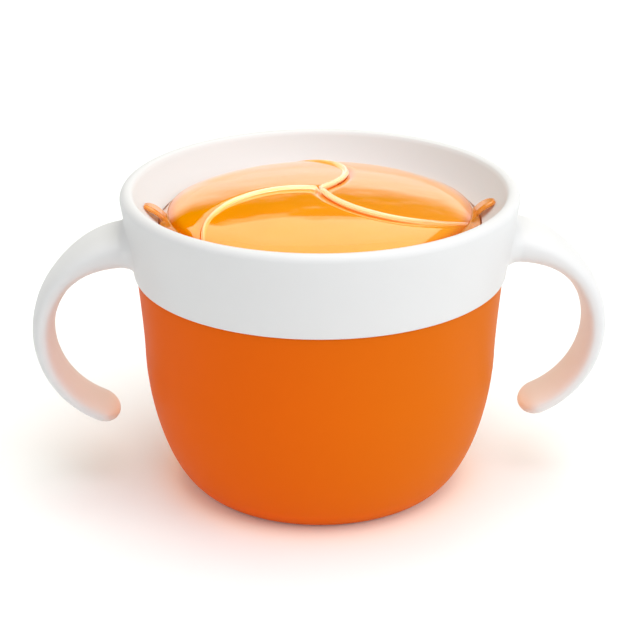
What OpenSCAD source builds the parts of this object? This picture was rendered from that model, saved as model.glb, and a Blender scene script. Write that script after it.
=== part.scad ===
// Toddler snack container: a round cup, a pull-off collar with two open
// handles, and a clear insert with three overlapping push-through flaps.
// Millimetres, +Z up, origin at the centre of the base, handles along X.

/* [Cup] */
// Outer radius of the cup wall where the collar sits down on it
cup_r = 45.6; // [42:0.1:50]
// Growth of that radius from the top of the bowl up to the shoulder
cup_flare = 1.5; // [0.5:0.1:3]
// Radius of the flat base
base_r = 30.3; // [24:0.1:36]
// Height at which the bowl curve meets the straight wall
bowl_h = 35.7; // [28:0.1:42]
// Squareness of the bowl curve, 2 is an ellipse
bowl_power = 1.75; // [1.5:0.05:2.4]
// Height of the shoulder on which the collar sits
shoulder_h = 55.9; // [50:0.1:62]
// Wall thickness of the cup
cup_wall = 2.0; // [1.6:0.1:3]
// Thickness of the cup's floor
cup_floor = 2.4; // [2:0.1:4]
// Width of the foot ring under the base
foot_w = 3.5; // [2.5:0.1:6]
// Depth of the recess inside the foot ring
foot_recess = 0.8; // [0.4:0.1:1.2]
// Width of the shoulder outside the thin neck
shoulder_w = 1.9; // [1.4:0.1:2.6]
// Depth of the neck's top below the insert's rim
neck_drop = 2.1; // [1.6:0.1:4]
// Height of the grip bead on the neck
bead_h = 0.45; // [0.2:0.05:0.6]
// Width of the flat top of that bead
bead_w = 0.8; // [0.4:0.1:1.2]
// Depth of that bead below the neck's top
bead_drop = 3.0; // [2.5:0.1:5]

/* [Collar] */
// Height of the collar from its lower edge to its crest
collar_h = 21.5; // [20:0.1:25]
// Step from the cup's wall out to the collar's lower edge
collar_step = 0.6; // [0.2:0.1:1.5]
// Growth of the collar's radius from its lower edge to its crest
collar_flare = 2.9; // [1.5:0.1:4.5]
// Thickness of the skirt and of the funnel wall
collar_wall = 2.0; // [1.6:0.1:2.4]
// Radius of the rounding over the crest
crest_round = 1.9; // [1.5:0.1:2.6]
// Angle that the rounding turns through before the funnel starts
crest_turn = 125; // [110:1:140]
// Depth of the funnel from the crest to the insert
funnel_d = 8.4; // [7:0.1:10]
// Depth by which the funnel sags below a straight cone
funnel_sag = 0.9; // [0:0.1:2]
// Wall of the plug that goes down inside the neck
plug_wall = 1.5; // [1.2:0.1:1.8]
// Width of the ledge that the insert rests on
ledge_w = 2.2; // [1.5:0.1:3]
// Thickness of that ledge
ledge_t = 1.2; // [1:0.1:2]

/* [Handles] */
// Radius of the arc that the middle of a handle follows
handle_arc_r = 22.9; // [18:0.1:26]
// Height of a handle's underside above the collar's lower edge
handle_lift = 2.6; // [1.2:0.1:4]
// Depth of that arc's centre inside the collar's largest radius
handle_inset = 2.6; // [0:0.1:4]
// Angle below the horizontal at which a handle's end starts to round off
handle_end = 66; // [45:1:80]
// Width of a handle at its root
handle_root_w = 20; // [16:0.5:26]
// Width of a handle at its tip
handle_tip_w = 15.5; // [10:0.5:20]
// Thickness of a handle at its root
handle_root_t = 9.4; // [6:0.1:11]
// Thickness of a handle at its middle
handle_mid_t = 5.6; // [3.5:0.1:7]
// Thickness of a handle at its tip
handle_tip_t = 4.6; // [3.5:0.1:6.5]
// Length over which a handle's end is rounded off
handle_round = 5.0; // [2:0.1:7]
// Share of a handle's length along which it narrows
handle_taper = 0.48; // [0.3:0.02:1]
// Share of a handle's length at which it is thinnest
handle_thin = 0.35; // [0.2:0.05:0.6]
// Squareness of a handle's section, 1 is an oval
handle_square = 0.8; // [0.6:0.05:1]
// Radius of the blend between a handle and the collar
handle_blend = 3.2; // [1:0.1:4]
// Height of that blend under the handle
handle_blend_under = 1.0; // [0.5:0.1:1.1]

/* [Insert] */
// Height of the ring's straight rim
ring_h = 2.6; // [2:0.1:4]
// Width of the sloping shoulder between the ring's rim and the dome
ring_shoulder_w = 2.1; // [1:0.1:3]
// Rise of the dome from its edge to its middle
dome_rise = 5.2; // [4:0.1:8]
// Height of the shoulder between the ring's rim and the dome's edge
dome_step = 2.3; // [1.5:0.1:3.5]
// Thickness of the clear wall
clear_wall = 1.2; // [0.8:0.1:1.6]
// Width of the ring's seat under the dome's edge
rim_w = 1.4; // [1:0.1:2]
// Width of each lift tab
tab_w = 5.6; // [5:0.2:10]
// Thickness of each lift tab
tab_t = 1.3; // [1:0.1:1.8]
// Reach of each lift tab outside the ring
tab_reach = 3.8; // [3:0.1:4.8]
// Height of each lift tab's tip above the ring
tab_rise = 4.8; // [3:0.1:5]
// How sharply each lift tab curls up, 1 is straight
tab_curl = 1.5; // [1:0.1:2]

/* [Flaps] */
// Width of the fixed margin outside the flaps
flap_margin = 3.5; // [2:0.1:6]
// Extra radius of a leading edge's arc over half the dome's radius
edge_spread = 3.0; // [1.5:0.1:5]
// Direction in which the first leading edge leaves the centre
edge_turn = -79.5; // [-90:0.5:-60]
// Distance of each hinge line inside the flaps' outer circle
hinge_inset = 15.5; // [13:0.1:18]
// Gap between one flap and the next
flap_gap = 0.45; // [0.3:0.05:0.8]
// Gap between a flap and the fixed web behind its hinge line
hinge_gap = 0.6; // [0.4:0.05:1]
// Angle by which a tail's gap opens out from the middle
tail_turn = 3; // [1:0.5:5]
// Distance along the hinge line at which a tail ends
tail_end = 12; // [8:0.5:16]
// Width of the raised rib along a leading edge
rib_w = 1.3; // [0.8:0.1:2]
// Height of that rib at the middle of the dome, none at its edge
rib_h = 1.0; // [0.4:0.1:1.4]

/* [Fits] */
// Clearance between the collar and the cup's neck
neck_fit = 0.3; // [0.2:0.05:0.5]
// Clearance between the insert and the collar
insert_fit = 0.3; // [0.2:0.05:0.5]

/* [Hidden] */
$fn = 128;
flap_count = 3;
flap_step = 360 / flap_count;

// The heights that the parts share
crest_z = shoulder_h + collar_h;
ring_top_z = crest_z - funnel_d;
ring_bottom_z = ring_top_z - ring_h;
dome_edge_z = ring_top_z + dome_step;
neck_top_z = ring_top_z - neck_drop;

// The radii that the fits share, from the cup's wall inwards
bowl_r = cup_r - cup_flare;
neck_out_r = cup_r - shoulder_w;
neck_in_r = neck_out_r - cup_wall;
plug_r = neck_in_r - neck_fit;
hole_r = plug_r - plug_wall;
ring_r = hole_r - insert_fit;
dome_r = ring_r - ring_shoulder_w;
rim_in_r = dome_r - rim_w;
skirt_in_r = neck_out_r + bead_h + neck_fit / 3;

// The collar's outside, which follows the cup's wall
collar_low_r = cup_r + collar_step;
collar_top_r = collar_low_r + collar_flare;

// The middle of the arc that a handle follows
handle_x = collar_top_r - handle_inset;
handle_z = shoulder_h + handle_lift + handle_root_t / 2 - handle_arc_r;

// The circles and lines that shape the flaps
flap_zone_r = dome_r - flap_margin;
edge_arc_r = dome_r / 2 + edge_spread;
hinge_c = flap_zone_r - hinge_inset;
low_bevel = 0.6;
small_bevel = 0.5;
// Hair gap that keeps a handle's flat facets clear of the round collar
root_gap = 0.08;

cup_colour = [0.90, 0.38, 0.07];
collar_colour = [0.94, 0.94, 0.95];
clear_colour = [1.0, 0.62, 0.15, 0.55];

// Radius of the ball whose cap is dome_r wide and rises by h
function cap_ball_r(h) = (dome_r * dome_r + h * h) / 2 / h;

// Height of the dome's outer surface at radius r
function dome_height(r) =
    let (ball_r = cap_ball_r(dome_rise))
    dome_edge_z + dome_rise - ball_r + sqrt(ball_r * ball_r - r * r);

// A bowl curve from the flat base up to the straight wall
function bowl(flat_r, wall_r, low_z, high_z, steps = 28) = [
    for (i = [0 : steps])
        let (a = 90 * i / steps)
        [flat_r + (wall_r - flat_r) * pow(sin(a), 2 / bowl_power),
         low_z + (high_z - low_z) * (1 - pow(cos(a), 2 / bowl_power))]
];

module cup() {
    foot_in_r = base_r - foot_w;
    outside = bowl(base_r, bowl_r, 0, bowl_h);
    inside = bowl(base_r - cup_wall, bowl_r - cup_wall, cup_floor, bowl_h);
    last = len(inside) - 1;
    bead_z = neck_top_z - bead_drop;
    color(cup_colour)
    rotate_extrude()
    polygon(concat(
        [[0, foot_recess], [foot_in_r - foot_recess, foot_recess], [foot_in_r, 0]],
        outside,
        [[cup_r, shoulder_h],
         [neck_out_r, shoulder_h],
         [neck_out_r, bead_z - bead_w * 1.5],
         [neck_out_r + bead_h, bead_z - bead_w / 2],
         [neck_out_r + bead_h, bead_z + bead_w / 2],
         [neck_out_r, bead_z + bead_w * 1.5],
         [neck_out_r, neck_top_z - small_bevel],
         [neck_out_r - small_bevel, neck_top_z],
         [neck_in_r + small_bevel, neck_top_z],
         [neck_in_r, neck_top_z - small_bevel],
         [neck_in_r, shoulder_h - cup_wall]],
        [for (i = [last : -1 : 0]) inside[i]],
        [[0, cup_floor]]));
}

// The middle of the crest's rounding, and where the funnel leaves it
crest_mid = [collar_top_r - crest_round, crest_z - crest_round];
funnel_start = crest_mid + crest_round * [cos(crest_turn), sin(crest_turn)];

funnel_run = [hole_r, ring_top_z] - funnel_start;

// Surface of the funnel at share t of the way down, sunk below it by sink
function funnel_point(t, sink = 0) =
    funnel_start + t * funnel_run - [0, funnel_sag * 4 * t * (1 - t)]
    + sink * [-funnel_run[1], funnel_run[0]] / norm(funnel_run);

module collar_profile() {
    steps = 10;
    under_z = ring_bottom_z - ledge_t;
    polygon(concat(
        [[collar_low_r - low_bevel, shoulder_h],
         [collar_low_r, shoulder_h + low_bevel]],
        [for (i = [0 : steps])
            let (a = crest_turn * i / steps)
            crest_mid + crest_round * [cos(a), sin(a)]],
        [for (i = [1 : steps]) funnel_point(i / steps)],
        [[hole_r, ring_bottom_z],
         [hole_r - ledge_w, ring_bottom_z],
         [hole_r - ledge_w, under_z],
         [plug_r - low_bevel, under_z],
         [plug_r, under_z + low_bevel],
         [plug_r, neck_top_z + neck_fit]],
        [for (i = [steps - 2 : -1 : 3]) funnel_point(i / steps, collar_wall)],
        [[skirt_in_r, ring_top_z],
         [skirt_in_r, shoulder_h]]));
}

module collar() {
    color(collar_colour)
    rotate_extrude() collar_profile();
}

function mix(a, b, t) = a + (b - a) * t;
function ease(t) = t * t * (3 - 2 * t);

// The centre line of a handle: an arc from the collar round to the tip
function handle_angle(s) = 90 - s * (90 + handle_end);
function handle_mid(s) =
    [handle_x + handle_arc_r * cos(handle_angle(s)),
     handle_z + handle_arc_r * sin(handle_angle(s))];

// Width and thickness of a handle at share s of its length
function handle_w(s) =
    mix(handle_root_w, handle_tip_w, ease(min(1, s / handle_taper)));
function handle_t(s) =
    s < handle_thin
        ? mix(handle_root_t, handle_mid_t, ease(s / handle_thin))
        : mix(handle_mid_t, handle_tip_t, ease((s - handle_thin) / (1 - handle_thin)));

// The collar's outer wall at height z
function skirt_r(z) = mix(collar_low_r, collar_top_r,
    (z - shoulder_h - low_bevel) / (crest_mid[1] - shoulder_h - low_bevel));

// A squarish oval coordinate at angle p, from the cosine or sine c
function oval(c) = sign(c) * pow(abs(c), handle_square);

// One ring of the handle's skin, k times its size, with a share g of the blend
function handle_ring(s, sides, k = 1, g = 0) =
    let (a = handle_angle(s), m = handle_mid(s))
    [for (i = [0 : sides - 1])
        let (p = 360 * i / sides,
             grow = g * (cos(p) < 0 ? handle_blend_under : handle_blend),
             u = oval(cos(p)) * (handle_t(s) / 2 * k + grow),
             v = oval(sin(p)) * (handle_w(s) / 2 * k + g * handle_blend))
        [m[0] + u * cos(a), v, m[1] + u * sin(a)]];

// A ring in the blend at the root: t = 0 lies on the collar's wall, 1 is clear
function blend_ring(t, s, sides) =
    [for (p = handle_ring(s, sides, 1, 1 - sin(90 * t)))
        let (wall_x = root_gap + sqrt(pow(skirt_r(p[2]), 2) - p[1] * p[1]))
        [mix(wall_x, p[0], 1 - cos(90 * t)), p[1], p[2]]];

// One handle on the +X side, drawn as a skin of rings from root to tip
module handle() {
    quarter = 6;
    sides = 4 * quarter;
    rings = 26;
    caps = 5;
    blends = 5;
    tip_flat = 0.12;
    arc = handle_arc_r * PI / 180 * (90 + handle_end);
    start_s = handle_blend / arc;
    skin = concat(
        [for (j = [0 : blends]) blend_ring(j / blends, start_s, sides)],
        [for (j = [1 : rings]) handle_ring(mix(start_s, 1, j / rings), sides)],
        [for (j = [1 : caps])
            let (a = 90 * j / caps)
            handle_ring(1 + handle_round / arc * sin(a), sides, max(cos(a), tip_flat))]);
    rows = len(skin);
    points = [for (row = skin) for (p = row) p];
    // Upright strips across the root follow the collar's round wall
    root = [for (j = [-quarter : quarter - 1])
        let (a = (j + sides) % sides, b = (j + 1 + sides) % sides,
             c = 2 * quarter - j - 1, d = (2 * quarter - j) % sides)
        each [if (c != b) [b, a, c], if (d != a) [a, d, c]]];
    walls = [for (j = [0 : rows - 2]) for (i = [0 : sides - 1])
        let (n = (i + 1) % sides)
        [j * sides + i, j * sides + n, (j + 1) * sides + n, (j + 1) * sides + i]];
    color(collar_colour)
    polyhedron(points, concat(root, walls,
        [[for (i = [0 : sides - 1]) (rows - 1) * sides + i]]));
}

module right_handle() { handle(); }
module left_handle() { mirror([1, 0, 0]) handle(); }

// The ball whose cap makes the dome, raised by h at its middle, sunk by t
module dome_ball(h = 0, t = 0) {
    ball_r = cap_ball_r(dome_rise + h);
    translate([0, 0, dome_edge_z + dome_rise + h - ball_r])
    sphere(r = ball_r - t, $fn = 256);
}

// The part of the dome's clear wall that lies over a plan
module dome_wall(h = 0) {
    intersection() {
        difference() {
            dome_ball(h);
            dome_ball(0, h > 0 ? clear_wall / 2 : clear_wall);
        }
        translate([0, 0, ring_bottom_z])
        linear_extrude(height = ring_h + dome_step + 2 * dome_rise) children();
    }
}

// The circle that carries the leading edge of flap k, grown by g
module head_circle(k, g = 0) {
    rotate(edge_turn + 90 + flap_step * k)
    translate([edge_arc_r, 0])
    circle(r = edge_arc_r + g);
}

// The plan of petal k out to radius r: its own round head and its tail, less
// the next head
module petal_plan(k, r = flap_zone_r) {
    intersection() {
        circle(r = r);
        difference() {
            union() {
                head_circle(k);
                rotate(edge_turn + 90 + flap_step * k)
                polygon(concat([[0, 0]], [for (a = [0 : flap_step / 2 : flap_step])
                    3 * edge_arc_r * [cos(a), sin(a)]]));
            }
            head_circle(k + 1, flap_gap);
        }
    }
}

// Direction from the centre towards hinge line k
function hinge_dir(k) =
    edge_turn + asin(flap_zone_r / 2 / edge_arc_r) + flap_step / 2 + flap_step * k;

// Everything on the outer side of hinge line k, from distance c outwards
module beyond_hinge(k, c) {
    rotate(hinge_dir(k))
    translate([c, -dome_r])
    square(2 * dome_r);
}

// Everything past the end of the tail, from distance d along hinge line k
module beyond_tail(k, d) {
    rotate(hinge_dir(k))
    translate([-dome_r, d])
    square(2 * dome_r);
}

// The rib along leading edge k, from the middle out to the dome's edge
module rib_plan(k) {
    intersection() {
        difference() {
            head_circle(k);
            head_circle(k, -rib_w);
        }
        rotate(edge_turn + 90 + flap_step * k)
        translate([0, -2 * edge_arc_r])
        square(2 * edge_arc_r);
    }
}

// The part of petal k that swings down
module flap_plan(k) {
    difference() {
        intersection() {
            petal_plan(k);
            circle(r = flap_zone_r - flap_gap);
        }
        rotate(-tail_turn) head_circle(k + 1, flap_gap);
        beyond_hinge(k, hinge_c);
        beyond_tail(k, tail_end);
    }
}

module flap(k) {
    color(clear_colour)
    union() {
        dome_wall() flap_plan(k);
        dome_wall(rib_h) intersection() {
            flap_plan(k);
            rib_plan(k);
        }
    }
}

module right_flap() { flap(0); }
module rear_flap() { flap(1); }
module front_flap() { flap(2); }

// A lift tab that curls up and out over the funnel
module lift_tab() {
    steps = 8;
    root = [ring_r - tab_t, ring_top_z];
    under = tab_t * 0.3;
    over = tab_t - under;
    curl = [for (i = [0 : steps])
        let (u = i / steps)
        root + [(tab_reach + tab_t) * u, tab_rise * pow(u, tab_curl)]];
    intersection() {
        rotate([90, 0, 0])
        translate([0, 0, -tab_w / 2])
        linear_extrude(height = tab_w)
        polygon(concat(
            [root - [0, tab_t / 2], root + [tab_t, -tab_t / 2], root + [tab_t, 0]],
            [for (i = [3 : steps]) curl[i] - [0, under]],
            [for (i = [steps : -1 : 0]) curl[i] + [-under * i / steps, over]]));
        translate([0, 0, ring_bottom_z])
        linear_extrude(height = crest_z)
        union() {
            translate([root[0], -tab_w / 2])
            square([tab_reach + tab_t - tab_w / 2, tab_w]);
            translate([ring_r + tab_reach - tab_w / 2, 0])
            circle(d = tab_w);
        }
    }
}

module flap_ring() {
    color(clear_colour)
    union() {
        // The rim and the shoulder that lead up to the dome
        rotate_extrude()
        polygon([[rim_in_r, ring_bottom_z], [ring_r, ring_bottom_z],
                 [ring_r, ring_top_z],
                 [ring_r - small_bevel, ring_top_z + small_bevel],
                 [dome_r + small_bevel, dome_edge_z - small_bevel],
                 [dome_r, dome_edge_z],
                 [dome_r - rim_w / 2, dome_height(dome_r - rim_w / 2)],
                 [rim_in_r, dome_edge_z - clear_wall]]);
        // The fixed part of the dome: its margin and a web behind each hinge
        dome_wall() difference() {
            circle(r = dome_r - rim_w / 2);
            circle(r = flap_zone_r);
        }
        for (k = [0 : flap_count - 1]) {
            dome_wall() intersection() {
                petal_plan(k, (flap_zone_r + dome_r) / 2);
                union() {
                    beyond_hinge(k, hinge_c + hinge_gap);
                    beyond_tail(k, tail_end + flap_gap);
                }
            }
            dome_wall(rib_h) difference() {
                rib_plan(k);
                circle(r = flap_zone_r);
                difference() {
                    circle(r = 2 * dome_r);
                    circle(r = dome_r - rim_w / 2);
                }
            }
        }
        for (side = [0, 180])
            rotate(side) lift_tab();
    }
}

cup();
collar();
left_handle();
right_handle();
flap_ring();
right_flap();
rear_flap();
front_flap();
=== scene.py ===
"""Looks of a toddler snack container: cup, pull-off collar with two handles, clear flap insert."""

import math

import bpy
from mathutils import Euler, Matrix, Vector
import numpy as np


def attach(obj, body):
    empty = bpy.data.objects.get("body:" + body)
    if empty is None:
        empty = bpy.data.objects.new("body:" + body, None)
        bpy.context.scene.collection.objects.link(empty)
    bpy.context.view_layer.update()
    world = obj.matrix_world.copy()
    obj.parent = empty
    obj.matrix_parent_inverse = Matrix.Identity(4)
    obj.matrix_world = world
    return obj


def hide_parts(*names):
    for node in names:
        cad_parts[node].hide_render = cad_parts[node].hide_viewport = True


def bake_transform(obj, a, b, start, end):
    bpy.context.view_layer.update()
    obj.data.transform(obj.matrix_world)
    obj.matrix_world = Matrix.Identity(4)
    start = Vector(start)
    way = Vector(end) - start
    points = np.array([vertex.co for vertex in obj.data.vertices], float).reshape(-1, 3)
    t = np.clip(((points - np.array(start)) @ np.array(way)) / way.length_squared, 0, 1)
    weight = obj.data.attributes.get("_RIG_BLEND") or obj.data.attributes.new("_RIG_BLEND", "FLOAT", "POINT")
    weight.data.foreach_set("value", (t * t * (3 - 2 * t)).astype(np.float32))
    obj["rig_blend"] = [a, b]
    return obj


bl_info = {
    "name": "Toddler Snack Container",
    "version": (1, 0, 0),
    "blender": (4, 5, 0),
    "location": "3D View > Sidebar > Snack Cup",
    "description": "Models and finishes a two-handled snack cup round its packed frame",
    "category": "Object",
}

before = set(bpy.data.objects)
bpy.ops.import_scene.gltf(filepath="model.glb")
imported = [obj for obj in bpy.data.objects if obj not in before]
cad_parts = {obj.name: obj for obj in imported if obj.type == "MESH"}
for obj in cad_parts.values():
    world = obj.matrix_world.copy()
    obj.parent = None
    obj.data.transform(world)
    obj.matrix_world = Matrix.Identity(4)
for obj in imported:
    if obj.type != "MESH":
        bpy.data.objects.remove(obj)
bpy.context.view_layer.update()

MM = 0.001
IMAGE_SIDE = 640
SENSOR_WIDTH = 36.0
QUARTER = math.radians(90)


# Settings


def length(label, description, millimetres):
    """A length setting, given in millimetres and kept in metres."""
    return bpy.props.FloatProperty(
        name=label,
        description=description,
        default=millimetres * MM,
        min=0.0,
        precision=5,
        unit="LENGTH",
    )


def angle(label, description, degrees):
    """An angle setting, given in degrees."""
    return bpy.props.FloatProperty(
        name=label,
        description=description,
        default=math.radians(degrees),
        subtype="ANGLE",
        unit="ROTATION",
    )


def colour(label, description, rgb):
    """A colour setting in linear light."""
    return bpy.props.FloatVectorProperty(
        name=label,
        description=description,
        default=rgb,
        size=3,
        min=0.0,
        max=1.0,
        subtype="COLOR",
    )


def share(label, description, value, highest=1.0):
    """A plain number setting from 0 to highest."""
    return bpy.props.FloatProperty(
        name=label, description=description, default=value, min=0.0, max=highest
    )


class CupSettings(bpy.types.PropertyGroup):
    """Sizes and colours of the cup."""

    wall_radius: length("Wall radius", "Outside radius under the collar", 45.6)
    bowl_radius: length("Bowl radius", "Outside radius at the top of the bowl", 44.1)
    base_radius: length("Base radius", "Radius of the flat base", 30.3)
    bowl_height: length("Bowl height", "Height at which the bowl ends", 35.7)
    bowl_power: share("Bowl power", "Squareness of the bowl, 2 is an ellipse", 1.75, 4.0)
    shoulder_height: length("Shoulder height", "Height of the collar's seat", 55.9)
    neck_height: length("Neck height", "Height of the neck above the shoulder", 11.0)
    neck_radius: length("Neck radius", "Outside radius of the neck", 43.7)
    bead: length("Bead", "Height of the grip bead on the neck", 0.45)
    bead_width: length("Bead width", "Width of the flat top of that bead", 0.8)
    bead_drop: length("Bead drop", "Depth of that bead below the neck's top", 3.0)
    wall: length("Wall", "Thickness of the wall", 2.0)
    floor: length("Floor", "Height of the inside floor", 2.4)
    foot: length("Foot width", "Width of the foot ring", 3.5)
    recess: length("Recess", "Depth inside the foot ring", 0.8)
    # Painted light and shade: a shaded and a lit copy of the cup's orange, laid across it from left to right
    dark: colour("Shaded orange", "Orange on the darker side", (0.78, 0.113, 0.001))
    light: colour("Lit orange", "Orange on the lighter side", (0.64, 0.147, 0.002))


class CollarSettings(bpy.types.PropertyGroup):
    """Sizes and colour of the collar."""

    height: length("Height", "From the lower edge to the crest", 21.5)
    low_radius: length("Lower radius", "Outside radius of the lower edge", 46.2)
    top_radius: length("Top radius", "Outside radius under the crest", 49.1)
    wall: length("Wall", "Thickness of the skirt and the funnel", 2.0)
    crest: length("Crest rounding", "Radius of the rounding over the crest", 1.9)
    crest_turn: angle("Crest turn", "Angle that the rounding turns through", 125.0)
    funnel: length("Funnel depth", "Depth from the crest to the insert", 8.4)
    sag: length("Funnel sag", "How far the funnel hangs below a cone", 0.9)
    hole_radius: length("Hole radius", "Radius of the hole for the insert", 39.9)
    plug_wall: length("Plug wall", "Wall that goes down inside the neck", 1.5)
    ledge: length("Ledge", "Thickness of the ledge under the insert", 1.2)
    ledge_width: length("Ledge width", "Width of that ledge", 2.2)
    gap: length("Gap", "Running gap between the plug and the neck's top", 0.3)
    skirt_radius: length("Skirt inside", "Inside radius of the skirt", 44.25)
    white: colour("White", "Colour of the collar and handles", (0.71, 0.714, 0.724))


class HandleSettings(bpy.types.PropertyGroup):
    """Sizes of a handle."""

    arc: length("Arc", "Radius of the arc that a handle follows", 22.9)
    drop: length("Drop", "Depth of the arc's centre below the crest", 37.1)
    reach: length("Reach", "Distance of the arc's centre from the cup's axis", 46.5)
    end: angle("End", "Angle below the horizontal at which its end rounds off", 66.0)
    root_width: length("Root width", "Width at the root", 20.0)
    tip_width: length("Tip width", "Width at the tip", 15.5)
    root_thickness: length("Root thickness", "Thickness at the root", 9.4)
    mid_thickness: length("Middle thickness", "Thickness where it is thinnest", 5.6)
    tip_thickness: length("Tip thickness", "Thickness at the tip", 4.6)
    round_off: length("Rounding", "Length over which the end is rounded off", 5.0)
    taper: share("Taper", "Share of the length along which it narrows", 0.48)
    thin: share("Thin place", "Share of the length where it is thinnest", 0.35)
    square: share("Squareness", "Squareness of the section, 1 is an oval", 0.8)
    blend: length("Blend", "Radius of the blend into the collar", 3.2)
    blend_under: length("Blend under", "The same blend under the handle", 1.0)


class InsertSettings(bpy.types.PropertyGroup):
    """Sizes and colour of the clear flap insert."""

    ring_radius: length("Ring radius", "Outside radius of the ring", 39.6)
    ring_height: length("Ring height", "Height of the straight rim", 2.6)
    rim_radius: length("Rim inside", "Inside radius of the rim", 36.1)
    dome_radius: length("Dome radius", "Radius of the domed top", 37.5)
    dome_rise: length("Dome rise", "Rise of the dome", 5.2)
    shoulder_drop: length("Shoulder drop", "Share of that rise in the rounded edge", 0.9)
    shoulder_width: length("Shoulder width", "Width of the dome's rounded edge", 7.0)
    step: length("Step", "From the rim's top up to the dome's edge", 2.3)
    wall: length("Wall", "Thickness of the clear wall", 1.2)
    edge_arc: length("Edge arc", "Radius of each leading edge", 21.75)
    edge_turn: angle("Edge turn", "Direction in which the first edge starts", -79.5)
    rib_width: length("Rib width", "Width of the raised edge", 1.1)
    # Width of the painted shade round the dome's edge
    rim_shade_width: length("Rim line", "Width of the deeper line round the dome's edge", 2.4)
    tuck_width: length("Tuck width", "Width along which a petal tucks under the next", 2.6)
    tuck_depth: length("Tuck depth", "Depth to which it tucks", 0.7)
    rib_height: length("Rib height", "Height of the raised edge at the middle", 1.0)
    hinge: length("Hinge", "Distance of a hinge line from the middle", 18.5)
    zone_radius: length("Flap zone", "Radius out to which the flaps are free", 34.0)
    tab_width: length("Tab width", "Width of a lift tab", 4.9)
    tab_reach: length("Tab reach", "Reach of a lift tab outside the ring", 3.8)
    tab_rise: length("Tab rise", "Height of a lift tab's tip above the ring", 4.8)
    tab_thickness: length("Tab thickness", "Thickness of a lift tab", 1.2)
    amber: colour("Amber", "Tint of the clear petals", (0.96, 0.57, 0.02))
    deep: colour("Deep amber", "Tint of the thick ring and tabs", (0.96, 0.43, 0.015))
    # Colour of the painted highlight on the petals' raised edges
    lip_highlight_colour: colour("Pale amber", "Tint of the raised edges", (1.0, 0.80, 0.55))


class StudioSettings(bpy.types.PropertyGroup):
    """The floor, the light and the camera."""

    paper: colour("Paper", "Colour of the floor", (0.92, 0.95, 0.96))
    camera_back: length("Camera back", "Distance of the camera in front", 456.3)
    camera_up: length("Camera up", "Height of the camera", 232.35)
    pitch: angle("Pitch", "Angle by which the camera looks down", 22.673)
    turn: angle("Turn", "Angle by which the camera stands round to the left", 2.44)
    focal_pixels: share("Focal length", "In pixels of the picture", 1958.7, 9999.0)


PIECES = {
    "snack_cup": CupSettings,
    "snack_collar": CollarSettings,
    "snack_handle": HandleSettings,
    "snack_insert": InsertSettings,
    "snack_studio": StudioSettings,
}


# Modelling helpers


def deselect():
    """Back to object mode with nothing selected."""
    if bpy.context.mode != "OBJECT":
        bpy.ops.object.mode_set(mode="OBJECT")
    bpy.ops.object.select_all(action="DESELECT")


def take(piece):
    """Makes a piece the active one and the only one selected."""
    deselect()
    piece.select_set(True)
    bpy.context.view_layer.objects.active = piece


def edit_all(piece):
    """Takes a piece into edit mode with all of it selected."""
    take(piece)
    bpy.ops.object.mode_set(mode="EDIT")
    bpy.ops.mesh.select_all(action="SELECT")


def turn_round(piece, turned):
    """Turns a piece's mesh about the cup's axis, anticlockwise from above."""
    edit_all(piece)
    bpy.ops.transform.rotate(value=-turned, orient_axis="Z", center_override=(0, 0, 0))
    deselect()


def start_at(name, point):
    """A new mesh of one vertex at point, left in edit mode."""
    deselect()
    bpy.ops.mesh.primitive_plane_add(size=MM, location=(0, 0, 0))
    piece = bpy.context.object
    piece.name = piece.data.name = name
    bpy.ops.object.mode_set(mode="EDIT")
    bpy.ops.mesh.select_mode(type="VERT")
    bpy.ops.mesh.select_all(action="SELECT")
    bpy.ops.mesh.merge(type="CENTER")
    bpy.ops.transform.translate(value=point)
    return piece


def trace(points):
    """Extrudes the selected vertex from point to point."""
    for here, there in zip(points, points[1:]):
        bpy.ops.mesh.extrude_vertices_move(
            TRANSFORM_OT_translate={"value": Vector(there) - Vector(here)}
        )


def close_up(doubles=2e-6):
    """Merges points closer than doubles, turns faces outwards and leaves edit mode."""
    bpy.ops.mesh.select_all(action="SELECT")
    bpy.ops.mesh.remove_doubles(threshold=doubles)
    bpy.ops.mesh.normals_make_consistent(inside=False)
    deselect()


def turn(name, profile, steps=144):
    """A piece of revolution from a profile of (radius, height) points."""
    points = [(r, 0.0, z) for r, z in profile]
    piece = start_at(name, points[0])
    trace(points)
    bpy.ops.mesh.select_all(action="SELECT")
    bpy.ops.mesh.spin(steps=steps, angle=math.tau, center=(0, 0, 0), axis=(0, 0, 1))
    close_up()
    return piece


def pick(piece, wanted):
    """In edit mode, selects just the vertices whose place passes the test."""
    bpy.ops.object.mode_set(mode="OBJECT")
    mesh = piece.data
    for polygon in mesh.polygons:
        polygon.select = False
    for edge in mesh.edges:
        edge.select = False
    for vertex in mesh.vertices:
        vertex.select = wanted(vertex.co)
    bpy.ops.object.mode_set(mode="EDIT")
    bpy.ops.mesh.select_mode(type="VERT")


def modify(piece, kind, **settings):
    """Adds a modifier with its settings and applies it."""
    take(piece)
    modifier = piece.modifiers.new(kind.title(), kind)
    for key, value in settings.items():
        setattr(modifier, key, value)
    bpy.ops.object.modifier_apply(modifier=modifier.name)


def smooth(piece, degrees=40.0):
    """Shades a piece smooth, but for edges sharper than an angle."""
    take(piece)
    bpy.ops.object.shade_smooth_by_angle(angle=math.radians(degrees))
    deselect()


def duplicate(piece, name):
    """A copy of a piece with its own mesh."""
    copy = piece.copy()
    copy.data = piece.data.copy()
    copy.name = copy.data.name = name
    bpy.context.scene.collection.objects.link(copy)
    return copy


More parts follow.
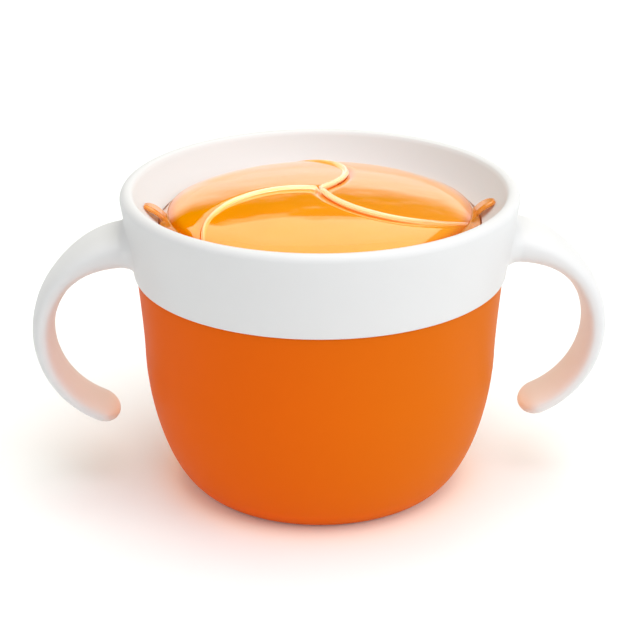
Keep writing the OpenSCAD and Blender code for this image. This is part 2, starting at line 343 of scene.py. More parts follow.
def soften(corners, steps=5):
    """A profile from (x, z, reach) corners, each rounded over its reach."""
    most = 0.49
    points = []
    last = len(corners) - 1
    for i, (x, z, reach) in enumerate(corners):
        here = Vector((x, z))
        if reach == 0 or i in (0, last):
            points.append(here)
            continue
        before = Vector(corners[i - 1][:2]) - here
        after = Vector(corners[i + 1][:2]) - here
        a = here + before.normalized() * min(reach, before.length * most)
        b = here + after.normalized() * min(reach, after.length * most)
        for k in range(steps + 1):
            u = k / steps
            points.append((1 - u) ** 2 * a + 2 * u * (1 - u) * here + u * u * b)
    return [(p.x, p.y) for p in points]


def mix(a, b, t):
    """The value a share t of the way from a to b."""
    return a + (b - a) * t


def ease(t):
    """A share from 0 to 1 with a soft start and end."""
    return t * t * (3 - 2 * t)


def ray(direction):
    """A step of length one in the plane, at an angle from the first axis."""
    return Vector((math.cos(direction), math.sin(direction)))


# Finishes


class Signal:
    """A shader socket that takes part in Python sums."""

    def __init__(self, graph, socket):
        self.graph = graph
        self.socket = socket

    def _sum(self, operation, a, b):
        return self.graph.node("ShaderNodeMath", {"operation": operation}, {0: a, 1: b})

    def __add__(self, other):
        return self._sum("ADD", self, other)

    def __radd__(self, other):
        return self._sum("ADD", other, self)

    def __sub__(self, other):
        return self._sum("SUBTRACT", self, other)

    def __rsub__(self, other):
        return self._sum("SUBTRACT", other, self)

    def __mul__(self, other):
        return self._sum("MULTIPLY", self, other)

    def __rmul__(self, other):
        return self._sum("MULTIPLY", other, self)


class Graph:
    """The nodes of a material or of the world, with one method that adds them."""

    def __init__(self, owner):
        owner.use_nodes = True
        self.tree = owner.node_tree
        self.tree.nodes.clear()

    def node(self, kind, settings=None, inputs=None, output=0):
        """Adds a node, sets it up, joins its inputs and gives its output."""
        made = self.tree.nodes.new(kind)
        for key, value in (settings or {}).items():
            setattr(made, key, value)
        for key, value in (inputs or {}).items():
            if isinstance(value, Signal):
                self.tree.links.new(value.socket, made.inputs[key])
            else:
                made.inputs[key].default_value = value
        return Signal(self, made.outputs[output]) if made.outputs else None

    def parts(self, way):
        """The X, Y and Z of a vector."""
        split = self.node("ShaderNodeSeparateXYZ", inputs={"Vector": way})
        return [Signal(self, part) for part in split.socket.node.outputs]

    def rise(self, value, reach, strength=(0.0, 1.0)):
        """Maps a value's reach to a strength, with a soft start and end."""
        return self.node(
            "ShaderNodeMapRange",
            {"interpolation_type": "SMOOTHSTEP"},
            {
                "Value": value,
                "From Min": reach[0],
                "From Max": reach[1],
                "To Min": strength[0],
                "To Max": strength[1],
            },
        )


class Finish(Graph):
    """A material under construction."""

    def __init__(self, name):
        self.material = bpy.data.materials.new(name)
        super().__init__(self.material)

    def place(self):
        """Object coordinates, in metres in the part's own frame."""
        return self.node("ShaderNodeTexCoord", output="Object")

    def attribute(self, name):
        """A piece's own attribute, from 0 to 1."""
        return self.node("ShaderNodeAttribute", {"attribute_name": name}, output="Fac")

    def noise(self, grain, detail=2.0, squash=None):
        """Soft noise from 0 to 1 whose lumps are about grain across."""
        where = self.place()
        if squash:
            where = self.node("ShaderNodeMapping", inputs={"Vector": where, "Scale": squash})
        inputs = {"Vector": where, "Scale": 1 / grain, "Detail": detail}
        return self.node("ShaderNodeTexNoise", inputs=inputs, output="Fac")

    def blend(self, factor, first, second):
        """Mixes two colours by a signal, through the Mix node's colour sockets."""
        first, second = (c if isinstance(c, Signal) else (*c, 1.0) for c in (first, second))
        inputs = {"Factor": factor, 6: first, 7: second}
        return self.node("ShaderNodeMix", {"data_type": "RGBA"}, inputs, output=2)

    def bump(self, height, strength, distance):
        """A bumped normal from a height signal."""
        inputs = {"Height": height, "Strength": strength, "Distance": distance}
        return self.node("ShaderNodeBump", inputs=inputs)

    def surface(self, inputs):
        """The shader and the output; gives the finished material."""
        shader = self.node("ShaderNodeBsdfPrincipled", inputs=inputs)
        self.node("ShaderNodeOutputMaterial", inputs={"Surface": shader})
        return self.material


def orange_finish(cup):
    """Satin orange moulded plastic with painted light and shade: a shaded copy of its orange on the left
    blends into a lit copy on the right.
    """
    finish = Finish("satin_orange_plastic")
    flow = finish.noise(34 * MM, detail=3.0)
    shaded_x, lit_x = -39 * MM, 51 * MM
    x, _, _ = finish.parts(finish.place())
    # Painted light across the cup from left to right, with a little random flow in its tone
    lit_share_and_flow = finish.rise(x, (shaded_x, lit_x)) * 0.86 + flow * 0.14
    base = finish.blend(lit_share_and_flow, tuple(cup.dark), tuple(cup.light))
    skin = finish.noise(0.5 * MM, detail=3.0)
    return finish.surface(
        {
            "Base Color": base,
            "Roughness": 0.40 + skin * 0.10 + flow * 0.06,
            "Specular IOR Level": 0.05,
            "Normal": finish.bump(skin, 0.12, 0.02 * MM),
        }
    )


def white_finish(collar):
    """Fine matt white moulded plastic with a faint skin."""
    finish = Finish("matt_white_plastic")
    flow = finish.noise(28 * MM)
    skin = finish.noise(0.4 * MM, detail=3.0)
    white = tuple(collar.white)
    warmer = (white[0], white[1] * 0.99, white[2] * 0.98)
    return finish.surface(
        {
            "Base Color": finish.blend(flow, white, warmer),
            "Roughness": 0.38 + skin * 0.14,
            "Specular IOR Level": 0.35,
            "Normal": finish.bump(skin, 0.15, 0.02 * MM),
        }
    )


def amber_finish(name, tint, lip_highlight_colour, clearness, glow):
    """Clear amber elastomer, polished and slightly wavy, with a painted highlight along its lips, painted
    shade where it tucks and round its edge, and a painted glow.
    """
    finish = Finish(name)
    wave = finish.noise(9 * MM)
    streak = finish.noise(11 * MM, detail=1.0, squash=(0.4, 1, 1))
    deeper = (tint[0], tint[1] * 0.84, tint[2] * 0.8)
    # Painted shade, deep red, where a petal tucks under the next one and round the dome's edge, and a
    # painted warm glow as if lit from inside
    tuck_shade_colour = (0.62, 0.10, 0.004)
    inner = (0.46, 0.55 * tint[1] ** 2, 0.004)
    clear = finish.blend(finish.attribute("painted_shade"), finish.blend(wave, tint, deeper), tuck_shade_colour)
    # Painted highlight: the lips are painted pale and glow pale
    lip = finish.attribute("lip_highlight")
    # Painted glow: warm all over, pale along the lips
    shine = finish.blend(lip, inner, tuple(0.7 * c for c in lip_highlight_colour))
    return finish.surface(
        {
            "Base Color": finish.blend(lip, clear, lip_highlight_colour),
            "Roughness": 0.06 + wave * 0.06,
            "IOR": 1.45,
            "Transmission Weight": clearness,
            "Specular IOR Level": 0.5,
            "Coat Weight": 0.6 + streak * 0.6,
            "Coat Roughness": 0.04,
            "Emission Color": shine,
            "Emission Strength": glow,
            "Normal": finish.bump(wave * 0.4 + streak, 0.4, 1.0 * MM),
        }
    )


def dress(piece, material, slot, body, *nodes):
    """Gives a piece its finish and its body, and hides the nodes it stands for; the slot is not used."""
    piece.data.materials.clear()
    piece.data.materials.append(material)
    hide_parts(*nodes)
    if body:
        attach(piece, body)
    return piece


# Shapes


def bowl(cup, inset, low):
    """The bowl's curve from the flat base up to the straight wall."""
    steps = 30
    power = 2 / cup.bowl_power
    points = []
    for i in range(steps + 1):
        a = QUARTER * i / steps
        run = math.sin(a) ** power
        rise = 1 - math.cos(a) ** power
        radius = mix(cup.base_radius, cup.bowl_radius, run) - inset
        points.append((radius, mix(low, cup.bowl_height, rise)))
    return points


def wall_side(cup, top):
    """The wall above the bowl, which flares gently to the shoulder."""
    steps, flare_power = 10, 1.35
    points = []
    for i in range(1, steps + 1):
        t = i / steps
        radius = mix(cup.bowl_radius, cup.wall_radius, t**flare_power)
        points.append((radius, mix(cup.bowl_height, top, t)))
    return points


class SNACK_OT_cup(bpy.types.Operator):
    """Turn the cup from its profile."""

    bl_idname = "snack.cup"
    bl_label = "Cup"

    def execute(self, context):
        cup = context.scene.snack_cup
        foot_in = cup.base_radius - cup.foot
        neck_top = cup.shoulder_height + cup.neck_height
        neck_in = cup.neck_radius - cup.wall
        bead_z = neck_top - cup.bead_drop
        bead_r = cup.neck_radius + cup.bead
        soft, edge, fine, rim = 0.7 * MM, 0.4 * MM, 0.3 * MM, 0.6 * MM
        under = soften(
            [
                (0, cup.recess, 0),
                (foot_in - cup.recess, cup.recess, soft),
                (foot_in, 0, soft),
                (cup.base_radius, 0, 0),
            ]
        )
        neck = soften(
            [
                (cup.bowl_radius, cup.bowl_height, 0),
                (cup.wall_radius, cup.shoulder_height, edge),
                (cup.neck_radius, cup.shoulder_height, fine),
                (cup.neck_radius, bead_z - cup.bead_width * 1.5, fine),
                (bead_r, bead_z - cup.bead_width / 2, fine),
                (bead_r, bead_z + cup.bead_width / 2, fine),
                (cup.neck_radius, bead_z + cup.bead_width * 1.5, fine),
                (cup.neck_radius, neck_top, rim),
                (neck_in, neck_top, rim),
                (neck_in, cup.shoulder_height - cup.wall, 0),
            ]
        )[1:]
        # The wall stops short of the shoulder, whose own rounding takes over
        side = wall_side(cup, cup.shoulder_height)[:-1]
        inside = bowl(cup, cup.wall, cup.floor)[::-1] + [(0, cup.floor)]
        profile = under + bowl(cup, 0, 0)[1:] + side + neck + inside
        piece = turn("orange_cup", profile)
        smooth(piece)
        dress(piece, orange_finish(cup), "cup", "cup", "cup")
        return {"FINISHED"}


def crest_line(collar, crest_z):
    """The rounding over the crest, from the skirt's top to the funnel's."""
    steps = 14
    centre = Vector((collar.top_radius - collar.crest, crest_z - collar.crest))
    turns = [collar.crest_turn * i / steps for i in range(steps + 1)]
    return [tuple(centre + collar.crest * ray(a)) for a in turns]


def funnel(collar, crest_z, sink=0.0):
    """The funnel's line from the crest down to the insert, or its underside at depth sink."""
    steps = 12
    start = Vector(crest_line(collar, crest_z)[-1])
    run = Vector((collar.hole_radius, crest_z - collar.funnel)) - start
    out = Vector((-run.y, run.x)).normalized() * sink
    points = []
    for i in range(steps + 1):
        t = i / steps
        p = start + run * t + out
        points.append((p.x, p.y - collar.sag * 4 * t * (1 - t)))
    return points


class SNACK_OT_collar(bpy.types.Operator):
    """Turn the collar from its profile."""

    bl_idname = "snack.collar"
    bl_label = "Collar"

    def execute(self, context):
        scene = context.scene
        collar, cup, insert = scene.snack_collar, scene.snack_cup, scene.snack_insert
        low = cup.shoulder_height
        crest_z = low + collar.height
        hole_z = crest_z - collar.funnel
        ledge_z = hole_z - insert.ring_height
        under_z = ledge_z - collar.ledge
        ledge_r = collar.hole_radius - collar.ledge_width
        plug = collar.hole_radius + collar.plug_wall
        fine, edge, soft = 0.3 * MM, 0.5 * MM, 0.8 * MM
        crest = crest_line(collar, crest_z)
        foot = soften(
            [
                (collar.skirt_radius, hole_z, 0),
                (collar.skirt_radius, low, edge),
                (collar.low_radius, low, soft),
                (*crest[0], 0),
            ]
        )[:-1]
        # Even steps up the skirt keep its shading and its mesh clean
        rows = 6
        skirt = [
            (mix(foot[-1][0], crest[0][0], i / rows), mix(foot[-1][1], crest[0][1], i / rows))
            for i in range(1, rows)
        ]
        seat = soften(
            [
                (collar.hole_radius, hole_z, 0),
                (collar.hole_radius, ledge_z, fine),
                (ledge_r, ledge_z, fine),
                (ledge_r, under_z, fine),
                (plug, under_z, soft),
                (plug, low + cup.neck_height + collar.gap, 0),
            ]
        )[1:]
        # The funnel's underside, short of both ends, where it meets the skirt and the plug
        lining = funnel(collar, crest_z, collar.wall)[3:11][::-1]
        profile = foot + skirt + crest + funnel(collar, crest_z)[1:] + seat + lining
        piece = turn("white_collar", profile + [foot[0]])
        smooth(piece)
        dress(piece, white_finish(collar), "collar", "lid", "collar")
        return {"FINISHED"}


def handle_size(handle, s):
    """Width and thickness of a handle at share s of its length."""
    width = mix(handle.root_width, handle.tip_width, ease(min(1, s / handle.taper)))
    if s < handle.thin:
        thick = mix(handle.root_thickness, handle.mid_thickness, ease(s / handle.thin))
    else:
        rest = (s - handle.thin) / (1 - handle.thin)
        thick = mix(handle.mid_thickness, handle.tip_thickness, ease(rest))
    return width, thick


def upright_oval(name, sides, squareness):
    """A squarish oval of radius one that stands across X, left in edit mode."""
    deselect()
    bpy.ops.mesh.primitive_circle_add(vertices=sides, radius=1.0)
    piece = bpy.context.object
    piece.name = piece.data.name = name
    bpy.ops.object.mode_set(mode="EDIT")
    bpy.ops.mesh.select_all(action="SELECT")
    bpy.ops.transform.rotate(value=QUARTER, orient_axis="Y", center_override=(0, 0, 0))
    bpy.ops.object.mode_set(mode="OBJECT")
    for vertex in piece.data.vertices:
        y, z = (math.copysign(abs(v) ** squareness, v) for v in vertex.co.yz)
        vertex.co = (0, y, z)
    bpy.ops.object.mode_set(mode="EDIT")
    bpy.ops.mesh.select_all(action="SELECT")
    return piece


def swing(turned, centre):
    """Turns what is selected about the handle's arc, from +Z towards +X."""
    bpy.ops.transform.rotate(value=-turned, orient_axis="Y", center_override=centre)


class HandleSweep:
    """A ring of vertices in edit mode that is walked round a handle's arc."""

    def __init__(self, handle, crest_z):
        self.handle = handle
        self.centre = Vector((handle.reach, 0, crest_z - handle.drop))
        self.top = self.centre + Vector((0, 0, handle.arc))
        self.whole = QUARTER + handle.end
        self.length = handle.arc * self.whole
        self.start = handle.blend / self.length
        self.stand(0.0, 2.0, 2.0)

    def stand(self, s, width, thick, shift=0.0):
        """Notes at which share of the arc the selected ring stands, and its size."""
        self.turned = self.whole * s
        self.width, self.thick, self.shift = width, thick, shift

    def place(self, s, width, thick, shift=0.0):
        """Moves the selected ring to a share of the arc and gives it a size."""
        swing(-self.turned, self.centre)
        bpy.ops.transform.translate(value=(0, 0, -self.shift))
        ratio = (1, width / self.width, thick / self.thick)
        bpy.ops.transform.resize(value=ratio, center_override=self.top)
        bpy.ops.transform.translate(value=(0, 0, shift))
        self.stand(s, width, thick, shift)
        swing(self.turned, self.centre)

    def grow(self, *placing):
        """Extrudes the selected ring and places the new one."""
        bpy.ops.mesh.extrude_region_move()
        self.place(*placing)

    def to_tip(self):
        """Walks the ring from the root's blend to the rounded tip."""
        rings, caps, smallest = 54, 8, 0.04
        self.place(self.start, *handle_size(self.handle, self.start))
        for j in range(1, rings + 1):
            s = mix(self.start, 1, j / rings)
            self.grow(s, *handle_size(self.handle, s))
        width, thick = self.width, self.thick
        for j in range(1, caps + 1):
            a = QUARTER * j / caps
            k = max(math.cos(a), smallest)
            s = 1 + self.handle.round_off / self.length * math.sin(a)
            self.grow(s, width * k, thick * k)
        bpy.ops.mesh.merge(type="CENTER")

    def to_collar(self, piece):
        """Spreads rings out at the root, in a group that is drawn onto the collar."""
        blends, inner = 9, (0.7, 0.35)
        near = 0.02 * MM
        facing = Euler((0, self.whole * self.start, 0)).to_matrix()
        root = facing @ Vector((0, 0, self.handle.arc)) + self.centre
        along = facing @ Vector((1, 0, 0))
        pick(piece, lambda co: abs((co - root).dot(along)) < near and co.z > self.centre.z)
        width, thick = handle_size(self.handle, self.start)
        self.stand(self.start, width, thick)
        group = piece.vertex_groups.new(name="root")
        piece.vertex_groups.active_index = group.index
        for k in range(1, blends + 1):
            t = QUARTER * (1 - k / blends)
            over = (1 - math.sin(t)) * self.handle.blend
            under = (1 - math.sin(t)) * self.handle.blend_under
            self.grow(self.start, width + 2 * over, thick + over + under, (over - under) / 2)
            bpy.context.scene.tool_settings.vertex_group_weight = math.cos(t)
            bpy.ops.object.vertex_group_assign()
        for k in inner:
            self.grow(self.start, width * k, thick * k)
        bpy.ops.mesh.merge(type="CENTER")


class SNACK_OT_handles(bpy.types.Operator):
    """Sweep one handle round its arc, blend it into the collar and mirror it."""

    bl_idname = "snack.handles"
    bl_label = "Handles"

    def execute(self, context):
        scene = context.scene
        handle = scene.snack_handle
        collar = bpy.data.objects["white_collar"]
        crest_z = scene.snack_cup.shoulder_height + scene.snack_collar.height
        piece = upright_oval("right_handle_skin", sides=48, squareness=handle.square)
        sweep = HandleSweep(handle, crest_z)
        bpy.ops.transform.translate(value=sweep.top)
        sweep.to_tip()
        sweep.to_collar(piece)
        close_up()
        modify(
            piece,
            "SHRINKWRAP",
            target=collar,
            wrap_method="PROJECT",
            use_project_x=True,
            use_negative_direction=True,
            use_positive_direction=False,
            vertex_group="root",
        )
        smooth(piece, 50)

        # The other handle is its mirror image, with its faces turned outwards again
        other = duplicate(piece, "left_handle_skin")
        edit_all(other)
        bpy.ops.transform.mirror(constraint_axis=(True, False, False), center_override=(0, 0, 0))
        bpy.ops.mesh.normals_make_consistent(inside=False)
        deselect()
        white = collar.data.materials[0]
        dress(piece, white, "collar", "lid", "right_handle")
        dress(other, white, "collar", "lid", "left_handle")
        return {"FINISHED"}


def insert_heights(scene):
    """Heights of the ring's top, its bottom and the dome's edge."""
    insert = scene.snack_insert
    crest_z = scene.snack_cup.shoulder_height + scene.snack_collar.height
    ring_top = crest_z - scene.snack_collar.funnel
    return ring_top, ring_top - insert.ring_height, ring_top + insert.step


def dome_height(insert, dome_edge, radius):
    """Height of the dome's outer surface at a radius."""
    rise = insert.dome_rise - insert.shoulder_drop
    ball = (insert.dome_radius**2 + rise**2) / rise / 2
    past = max(0.0, 1 - (insert.dome_radius - radius) / insert.shoulder_width)
    drop = insert.shoulder_drop * past**2
    return dome_edge + insert.dome_rise - drop - ball + math.sqrt(ball**2 - radius**2)


def lift_tab(insert, ring_top):
    """A small leaf that curls up and out from the ring on the +X side."""
    rows, columns = 8, 4
    sunk, tip, near = 0.4 * MM, 0.6 * MM, 0.05 * MM
    climb_power, reach_power = 1.7, 1.3
    straight, blunt = 0.6, 0.9
    root = insert.ring_radius - insert.tab_thickness * 1.5
    reach = insert.ring_radius + insert.tab_reach - root
    start = Vector((root, -insert.tab_width / 2, ring_top - sunk))
    curl = []
    for i in range(rows + 1):
        u = i / rows
        climb = (insert.tab_rise - tip) * (1 - (1 - u) ** climb_power)
        curl.append(start + Vector((reach * u**reach_power, 0, climb)))
    tab = start_at("right_lift_tab", curl[0])
    trace(curl)
    bpy.ops.mesh.select_all(action="SELECT")
    step = (0, insert.tab_width / columns, 0)
    for _ in range(columns):
        bpy.ops.mesh.extrude_region_move(TRANSFORM_OT_translate={"value": step})
    # Rows draw in towards the tip, as a leaf does
    for i, point in enumerate(curl):
        pick(tab, lambda co: abs(co.x - point.x) < near)
        past = max(0.0, (i / rows - straight) / (1 - straight))
        narrow = math.sqrt(1 - past**2 * blunt)
        bpy.ops.transform.resize(value=(1, narrow, 1), center_override=(0, 0, 0))
    bpy.ops.mesh.select_all(action="SELECT")
    bpy.ops.mesh.normals_make_consistent(inside=False)
    deselect()
    modify(tab, "SOLIDIFY", thickness=insert.tab_thickness, offset=0.0, use_even_offset=True)
    modify(tab, "SUBSURF", levels=2, render_levels=2)
    return tab


class SNACK_OT_ring(bpy.types.Operator):
    """Turn the insert's rim and shoulder, and join the lift tabs to it."""

    bl_idname = "snack.ring"
    bl_label = "Insert ring"

    def execute(self, context):
        scene = context.scene
        insert = scene.snack_insert
        ring_top, ring_bottom, dome_edge = insert_heights(scene)
        slit, rim, fine, soft, edge = 0.1 * MM, 0.25 * MM, 0.3 * MM, 0.35 * MM, 0.4 * MM
        step, inset = 0.5 * MM, 0.6 * MM
        seat = dome_edge - insert.wall - slit
        lip = insert.dome_radius - slit
        middle = (insert.rim_radius + insert.ring_radius) / 2
        profile = soften(
            [
                (middle, ring_bottom, 0),
                (insert.ring_radius, ring_bottom, soft),
                (insert.ring_radius, ring_top, step),
                (insert.ring_radius - inset, ring_top + step, edge),
                (insert.dome_radius + step, dome_edge - step, edge),
                (insert.dome_radius + slit, dome_edge, rim),
                (lip, dome_edge, 0),
                (lip, seat, 0),
                (insert.rim_radius, seat, fine),
                (insert.rim_radius, ring_bottom, soft),
                (middle, ring_bottom, 0),
            ]
        )
        ring = turn("amber_ring", profile)
        for side in (0, math.pi):
            tab = lift_tab(insert, ring_top)
            turn_round(tab, side)
            modify(ring, "BOOLEAN", operation="UNION", object=tab, solver="EXACT")
            bpy.data.objects.remove(tab)
        smooth(ring, 40)
        tint, lip_highlight_colour = tuple(insert.deep), tuple(insert.lip_highlight_colour)
        # The ring glows faintly with painted light, as if lit from inside
        thick = amber_finish("deep_amber_elastomer", tint, lip_highlight_colour, clearness=0.5, glow=0.12)
        dress(ring, thick, "insert", "insert", "flap_ring")
        return {"FINISHED"}


def petal_sheet(insert, dome_edge, head, out_to):
    """One petal without thickness, spun from its leading edge round head."""
    steps = 44
    end = 2 * math.asin(out_to / insert.edge_arc / 2)
    edge = []
    for i in range(steps + 1):
        spot = head + insert.edge_arc * ray(insert.edge_turn - QUARTER + end * i / steps)
        edge.append((*spot, dome_height(insert, dome_edge, spot.length)))
    petal = start_at("right_petal", edge[0])
    trace(edge)
    bpy.ops.mesh.select_all(action="SELECT")
    # Degrees and columns, narrow ones along the lip and under the neighbour's lip
    for turned, columns in ((1.2, 6), (4.2, 9), (104.8, 37), (9.0, 14)):
        bpy.ops.mesh.spin(
            steps=columns,
            angle=-math.radians(turned),
            center=(0, 0, 0),
            axis=(0, 0, 1),
        )
    close_up(doubles=1e-6)
    return petal


def weigh_edges(petal, insert, head, out_to):
    """Gives the petal's points their share of the lip and the tuck, their painted highlight and their
    painted shade.
    """
    arc, near_axis, slack = insert.edge_arc, -0.1 * MM, -0.01
    # The lip's height at its edge, and the shares of its width that round off and lie flat
    foot, rounding, flat = 0.35, 0.25, 0.4
    # Strength of the painted shade round the dome's edge, and the painted highlight's strength at the lip's
    # foot
    rim_shade_strength, highlight_foot = 0.8, 0.4
    way = ray(insert.edge_turn)
    next_way = ray(insert.edge_turn + math.tau / 3)
    neighbour = arc * Vector((-next_way.y, next_way.x))
    lip = petal.vertex_groups.new(name="lip")
    tuck = petal.vertex_groups.new(name="tuck")
    lip_highlights = [0.0] * len(petal.data.vertices)
    painted_shade_values = list(lip_highlights)
    for vertex in petal.data.vertices:
        plan = Vector(vertex.co.xy)
        fade = 1 - min(1.0, plan.length / out_to) ** 4
        # Painted shade, deep red, round the dome's edge and where the petal tucks under its neighbour's lip
        deep = rim_shade_strength * ease(max(0.0, 1 - (out_to - plan.length) / insert.rim_shade_width))
        beyond = (plan - neighbour).length - arc
        if plan.dot(next_way) > near_axis and beyond < insert.tuck_width:
            near = min(1.0, 1 - beyond / insert.tuck_width)
            tuck.add([vertex.index], near**1.5 * fade, "REPLACE")
            deep = max(deep, ease(near) * fade)
        painted_shade_values[vertex.index] = min(1.0, deep)
        inside = (arc - (plan - head).length) / insert.rib_width
        if slack <= inside < 1 and plan.dot(way) >= near_axis:
            inside = max(0.0, inside)
            rounded = math.sqrt(1 - (1 - min(1, inside / rounding)) ** 2)
            falling = 1 - ease(max(0.0, inside - flat) / (1 - flat))
            lip.add([vertex.index], mix(foot, 1, rounded) * falling * fade, "REPLACE")
            # Painted highlight along the lip, strongest near the middle and weaker towards the rim
            lip_highlights[vertex.index] = falling * mix(highlight_foot, 1, fade)
    for name, values in (("lip_highlight", lip_highlights), ("painted_shade", painted_shade_values)):
        petal.data.attributes.new(name, "FLOAT", "POINT").data.foreach_set("value", values)


class SNACK_OT_petals(bpy.types.Operator):
    """Spin one petal from its leading edge, and copy it round."""

    bl_idname = "snack.petals"
    bl_label = "Petals"

    def execute(self, context):
        scene = context.scene
        insert = scene.snack_insert
        _, _, dome_edge = insert_heights(scene)
        tint, lip_highlight_colour = tuple(insert.amber), tuple(insert.lip_highlight_colour)
        # The petals glow with painted light, as if lit from inside
        amber = amber_finish("clear_amber_elastomer", tint, lip_highlight_colour, clearness=0.64, glow=0.4)
        slit = 0.2 * MM
        out_to = insert.dome_radius - slit
        arc = insert.edge_arc
        third = math.tau / 3
        head = arc * ray(insert.edge_turn + QUARTER)
        petal = petal_sheet(insert, dome_edge, head, out_to)
        weigh_edges(petal, insert, head, out_to)
        for group, strength in (("lip", insert.rib_height), ("tuck", -insert.tuck_depth)):
            modify(
                petal,
                "DISPLACE",
                direction="Z",
                strength=strength,
                mid_level=0.0,
                vertex_group=group,
            )
        if petal.data.polygons[len(petal.data.polygons) // 2].normal.z < 0:
            petal.data.flip_normals()
        modify(petal, "SOLIDIFY", thickness=insert.wall, offset=-1.0, use_even_offset=False)
        smooth(petal, 40)

        # Each petal bends over about 7 mm at its hinge line
        zone = math.asin(insert.zone_radius / arc / 2)
        level = Vector((0, 0, dome_edge))
        for k, side in enumerate(("right", "rear", "front")):
            piece = petal if k == 0 else duplicate(petal, side + "_petal")
            turn_round(piece, third * k)
            dress(piece, amber, "insert", None, side + "_flap")
            way = ray(insert.edge_turn + zone + third / 2 + third * k).to_3d()
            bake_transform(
                piece,
                "insert",
                side + "_flap",
                start=tuple(way * (insert.hinge + 0.8 * MM) + level),
                end=tuple(way * (insert.hinge - 6 * MM) + level),
            )
        return {"FINISHED"}


def paper_finish(studio):
    """Pale paper with the faintest grain, lifted a little towards white."""
    finish = Finish("pale_paper")
    grain = finish.noise(2 * MM)
    tone = tuple(studio.paper)
    return finish.surface(
        {
            "Base Color": finish.blend(grain, tone, tuple(c * 0.995 for c in tone)),
            "Roughness": 0.7 + grain * 0.1,
            "Specular IOR Level": 0.1,
            "Emission Color": (1.0, 1.0, 1.0, 1.0),
            "Emission Strength": 0.05,
        }
    )


def lay_floor(studio):
    """A wide sheet of paper at the foot of the cup."""
    deselect()
    bpy.ops.mesh.primitive_plane_add(size=8.0, location=(0, 0, 0))
    floor = bpy.context.object
    floor.name = floor.data.name = "paper_floor"
    floor.data.materials.append(paper_finish(studio))


def light_room(scene):
    """A bright room, with a dim band behind the cup that keeps the dome's tint."""
    scene.world = bpy.data.worlds.new("soft_room")
    room = Graph(scene.world)
    x, y, z = room.parts(room.node("ShaderNodeTexCoord", output="Generated"))
    side = room.rise(x, (-1.0, 1.0), (0.70, 1.10))
    back = room.rise(y, (0.15, 0.65))
    high = room.rise(z, (0.27, 0.38), (-0.3, 0.9))
    light = room.node("ShaderNodeBackground", inputs={"Strength": side - back * high})
    room.node("ShaderNodeOutputWorld", inputs={"Surface": light})


def softbox(name, spot, target, size, power, tint=(1.0, 1.0, 1.0)):
    """A square soft light that faces a target, in metres and watts."""
    deselect()
    bpy.ops.object.light_add(type="AREA", location=spot)
    lamp = bpy.context.object
    lamp.name = lamp.data.name = name
    lamp.data.shape = "SQUARE"
    lamp.data.size = size
    lamp.data.energy = power
    lamp.data.color = tint
    lamp.rotation_euler = (Vector(target) - lamp.location).to_track_quat("-Z", "Y").to_euler()
    return lamp


def set_lamps():
    """Three large softboxes, and four small lamps for light that the cup passes on."""
    cream, golden = (1.0, 0.97, 0.75), (1.0, 0.95, 0.5)
    orange, peach = (1.0, 0.40, 0.0), (1.0, 0.55, 0.25)
    down = (0, 0, 0)
    softbox("overhead_softbox", (0.1, -0.16, 0.94), (0, 0, 0.03), size=0.8, power=5.0)
    softbox("back_softbox", (0.0, 0.545, 0.86), (0, 0, 0.05), size=0.83, power=3.1, tint=cream)
    softbox("right_softbox", (0.8, -0.5, 0.5), (0, 0, 0.04), size=0.5, power=1.8)
    # Light that the satin orange cup throws on the floor round its foot
    glow = softbox("floor_glow", (0, 0, 0.005), down, size=0.078, power=0.008, tint=orange)
    # Light that comes down through the clear insert
    inside = softbox("inside_light", (0, 0, 0.064), down, size=0.068, power=0.015, tint=golden)
    hidden = [glow, inside]
    for lamp in hidden:
        lamp.data.shape = "DISK"
    # Light that the cup's sides throw on the insides of the handles
    for name, side in (("left_bounce", -1), ("right_bounce", 1)):
        spot = (side * 0.0475, 0, 0.032)
        target = (side * 0.1, 0, 0.03)
        hidden.append(softbox(name, spot, target, size=0.03, power=0.0016, tint=peach))
    for lamp in hidden:
        lamp.visible_camera = False
        lamp.visible_glossy = False
        lamp.visible_transmission = False


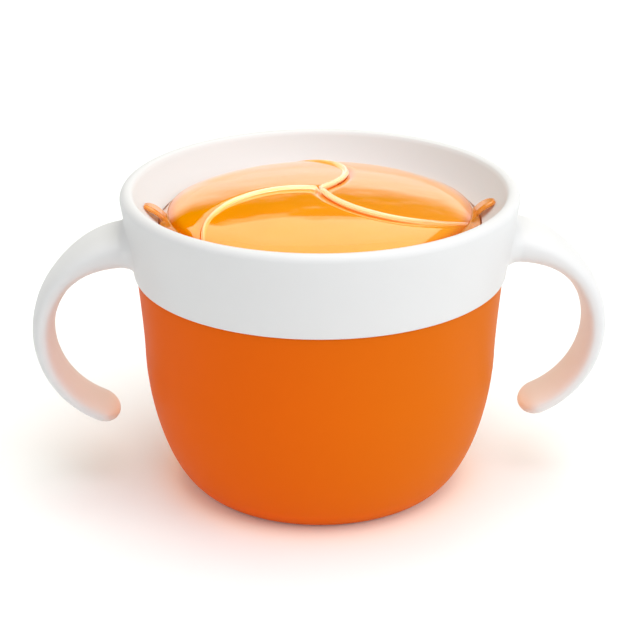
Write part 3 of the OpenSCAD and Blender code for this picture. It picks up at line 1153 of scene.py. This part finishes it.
def set_camera(scene, studio):
    """The camera of the photograph."""
    deselect()
    bpy.ops.object.camera_add(
        location=(
            -studio.camera_back * math.sin(studio.turn),
            -studio.camera_back * math.cos(studio.turn),
            studio.camera_up,
        ),
        rotation=(QUARTER - studio.pitch, 0, -studio.turn),
    )
    camera = bpy.context.object
    camera.name = camera.data.name = "photo_camera"
    camera.data.sensor_width = SENSOR_WIDTH
    camera.data.lens = studio.focal_pixels * SENSOR_WIDTH / IMAGE_SIDE
    camera.data.clip_start = 0.01
    scene.camera = camera
    scene.view_settings.view_transform = "Standard"
    deselect()


class SNACK_OT_stage(bpy.types.Operator):
    """Set the floor, the light and the camera."""

    bl_idname = "snack.stage"
    bl_label = "Stage"

    def execute(self, context):
        scene = context.scene
        lay_floor(scene.snack_studio)
        light_room(scene)
        set_lamps()
        set_camera(scene, scene.snack_studio)
        return {"FINISHED"}


OPERATORS = (
    SNACK_OT_cup,
    SNACK_OT_collar,
    SNACK_OT_handles,
    SNACK_OT_ring,
    SNACK_OT_petals,
    SNACK_OT_stage,
)


class SNACK_PT_panel(bpy.types.Panel):
    """Lists the pieces of the snack cup and their settings."""

    bl_idname = "SNACK_PT_panel"
    bl_label = "Snack Cup"
    bl_space_type = "VIEW_3D"
    bl_region_type = "UI"
    bl_category = "Snack Cup"

    def draw(self, context):
        for operator in OPERATORS:
            self.layout.operator(operator.bl_idname)
        for name, group in PIECES.items():
            box = self.layout.box()
            settings = getattr(context.scene, name)
            for key in group.__annotations__:
                box.prop(settings, key)


CLASSES = (*PIECES.values(), *OPERATORS, SNACK_PT_panel)


def register():
    """Registers the classes and hangs the settings on the scene."""
    for made in CLASSES:
        bpy.utils.register_class(made)
    for name, group in PIECES.items():
        setattr(bpy.types.Scene, name, bpy.props.PointerProperty(type=group))


def unregister():
    """Takes the settings and the classes away again."""
    for name in PIECES:
        delattr(bpy.types.Scene, name)
    for made in reversed(CLASSES):
        bpy.utils.unregister_class(made)


def main():
    """Builds the pieces in order."""
    register()
    bpy.ops.snack.cup()
    bpy.ops.snack.collar()
    bpy.ops.snack.handles()
    bpy.ops.snack.ring()
    bpy.ops.snack.petals()
    bpy.ops.snack.stage()


if __name__ == "__main__":
    main()
